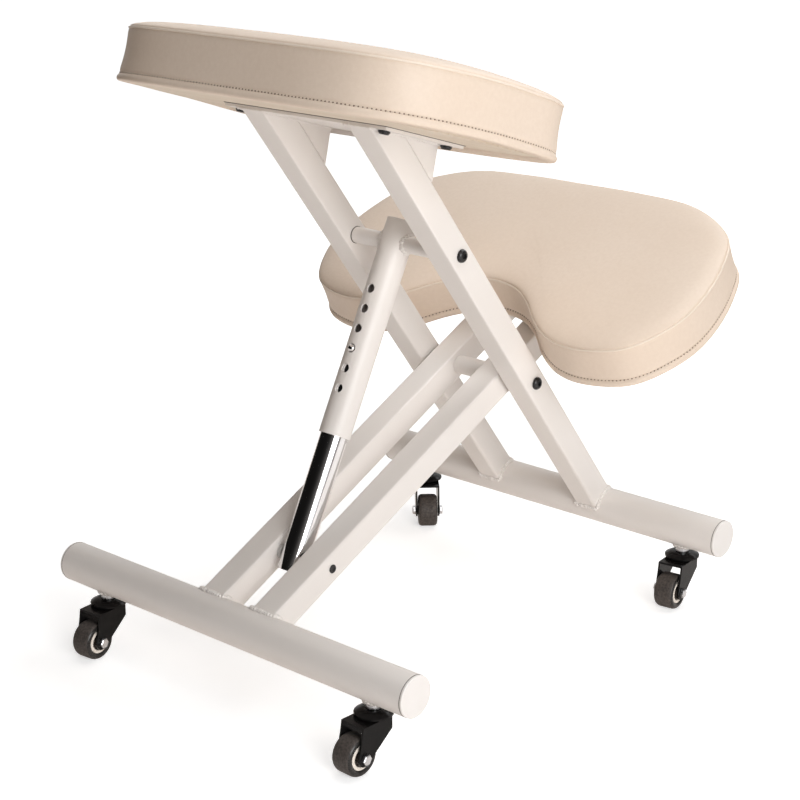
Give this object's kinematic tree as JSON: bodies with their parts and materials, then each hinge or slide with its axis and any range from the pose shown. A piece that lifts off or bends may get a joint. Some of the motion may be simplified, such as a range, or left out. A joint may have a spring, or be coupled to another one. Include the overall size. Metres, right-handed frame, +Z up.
{
  "type": "kneeling chair",
  "caption": "Kneeling chair: crossed square-tube legs on castors, a forward-sloping padded seat, a kidney-shaped knee pad and a telescopic strut with a snap button that sets the height.",
  "frame": {"origin": "on the floor, under the middle of the chair's bounding box", "axes": "+Z up, -Y to the front where the knee pad is, +X to the sitter's left"},
  "size_m": [0.485, 0.6134, 0.6399],
  "materials": {
    "white_powder_coat": "satin powder coat",
    "white_plastic": "satin moulded",
    "cream_vinyl": "smooth vinyl upholstery over foam",
    "pale_plywood": "raw plywood",
    "chrome": "bright chrome plate",
    "zinc_plated_steel": "zinc plate",
    "black_steel": "black oxide",
    "black_enamel": "gloss black enamel",
    "dark_grey_tyre": "matt solid tyre",
    "cream_hub": "moulded hub",
    "grey_nylon": "moulded nylon"
  },
  "bodies": {
    "knee_frame": {"rear_foot_tube": "white_powder_coat", "rear_cap_left": "white_plastic", "rear_cap_right": "white_plastic", "knee_leg_left": "white_powder_coat", "knee_leg_right": "white_powder_coat", "knee_leg_plug_left": "grey_nylon", "knee_leg_plug_right": "grey_nylon", "pivot_sleeve": "white_powder_coat", "knee_plate": "white_powder_coat", "knee_board": "pale_plywood", "knee_pad": "cream_vinyl", "knee_screw_front_left": "black_steel", "knee_screw_front_right": "black_steel", "knee_screw_rear_left": "black_steel", "knee_screw_rear_right": "black_steel", "strut_pin": "black_steel", "strut_bush_left": "grey_nylon", "strut_bush_right": "grey_nylon", "castor_stem_rear_left": "zinc_plated_steel", "castor_stem_rear_right": "zinc_plated_steel"},
    "seat_frame": {"front_foot_tube": "white_powder_coat", "front_cap_left": "white_plastic", "front_cap_right": "white_plastic", "seat_leg_left": "white_powder_coat", "seat_leg_right": "white_powder_coat", "pivot_bolt_left": "black_steel", "pivot_bolt_right": "black_steel", "pivot_washer_left": "grey_nylon", "pivot_washer_right": "grey_nylon", "strut_top_bolt_left": "black_steel", "strut_top_bolt_right": "black_steel", "seat_plate": "white_powder_coat", "seat_board": "pale_plywood", "seat_cushion": "cream_vinyl", "seat_screw_front_left": "black_steel", "seat_screw_front_right": "black_steel", "seat_screw_rear_left": "black_steel", "seat_screw_rear_right": "black_steel", "castor_stem_front_left": "zinc_plated_steel", "castor_stem_front_right": "zinc_plated_steel"},
    "strut_outer": {"strut_outer_tube": "white_powder_coat"},
    "strut_inner": {"strut_inner_tube": "chrome", "button_spring": "zinc_plated_steel"},
    "snap_button": {"snap_button": "chrome"},
    "fork_rear_left": {"castor_fork_rear_left": "black_enamel", "castor_axle_rear_left": "zinc_plated_steel"},
    "wheel_rear_left": {"castor_tyre_rear_left": "dark_grey_tyre", "castor_hub_rear_left": "cream_hub"},
    "fork_rear_right": {"castor_fork_rear_right": "black_enamel", "castor_axle_rear_right": "zinc_plated_steel"},
    "wheel_rear_right": {"castor_tyre_rear_right": "dark_grey_tyre", "castor_hub_rear_right": "cream_hub"},
    "fork_front_left": {"castor_fork_front_left": "black_enamel", "castor_axle_front_left": "zinc_plated_steel"},
    "wheel_front_left": {"castor_tyre_front_left": "dark_grey_tyre", "castor_hub_front_left": "cream_hub"},
    "fork_front_right": {"castor_fork_front_right": "black_enamel", "castor_axle_front_right": "zinc_plated_steel"},
    "wheel_front_right": {"castor_tyre_front_right": "dark_grey_tyre", "castor_hub_front_right": "cream_hub"}
  },
  "joints": [
    {"name": "seat_fold", "type": "hinge", "parent": "knee_frame", "child": "seat_frame", "pos_m": [0, -0.09509, 0.25628], "axis": [1, 0, 0], "range_deg": [-18.67, 13.64], "deforming": ["snap_button", "button_spring"]},
    {"name": "strut_top_hinge", "type": "hinge", "parent": "seat_frame", "child": "strut_outer", "pos_m": [0, 0.02721, 0.41263], "axis": [1, 0, 0], "range_deg": [-10.4, 14.2]},
    {"name": "strut_extend", "type": "slide", "parent": "strut_outer", "child": "strut_inner", "axis": [0, 0.4563, -0.8898], "range_m": [-0.0595, 0.0436]},
    {"name": "button_press", "type": "slide", "parent": "strut_inner", "child": "snap_button", "axis": [0, -0.8898, -0.4563], "range_m": [0, 0.0045], "stiffness_N_per_m": 800},
    {"name": "castor_swivel_rear_left", "type": "hinge", "parent": "knee_frame", "child": "fork_rear_left", "pos_m": [0.1828, 0.2619, 0.0562], "axis": [0, 0, 1], "continuous": true},
    {"name": "wheel_spin_rear_left", "type": "hinge", "parent": "fork_rear_left", "child": "wheel_rear_left", "pos_m": [0.18028, 0.28718, 0.019], "axis": [0.9951, 0.0993, 0], "continuous": true},
    {"name": "castor_swivel_rear_right", "type": "hinge", "parent": "knee_frame", "child": "fork_rear_right", "pos_m": [-0.1828, 0.2619, 0.0562], "axis": [0, 0, 1], "continuous": true},
    {"name": "wheel_spin_rear_right", "type": "hinge", "parent": "fork_rear_right", "child": "wheel_rear_right", "pos_m": [-0.18196, 0.28729, 0.019], "axis": [0.9995, -0.0332, 0], "continuous": true},
    {"name": "castor_swivel_front_left", "type": "hinge", "parent": "seat_frame", "child": "fork_front_left", "pos_m": [0.1828, -0.23094, 0.0562], "axis": [0, 0, 1], "continuous": true},
    {"name": "wheel_spin_front_left", "type": "hinge", "parent": "fork_front_left", "child": "wheel_front_left", "pos_m": [0.165, -0.21282, 0.019], "axis": [0.7133, 0.7009, 0], "continuous": true},
    {"name": "castor_swivel_front_right", "type": "hinge", "parent": "seat_frame", "child": "fork_front_right", "pos_m": [-0.1828, -0.23094, 0.0562], "axis": [0, 0, 1], "continuous": true},
    {"name": "wheel_spin_front_right", "type": "hinge", "parent": "fork_front_right", "child": "wheel_front_right", "pos_m": [-0.18598, -0.20574, 0.019], "axis": [0.9921, 0.1253, 0], "continuous": true}
  ],
  "couplings": [
    {"joint": "strut_top_hinge", "follows": "seat_fold", "ratio": -0.755},
    {"joint": "strut_extend", "follows": "seat_fold", "m_per_rad": 0.182}
  ]
}
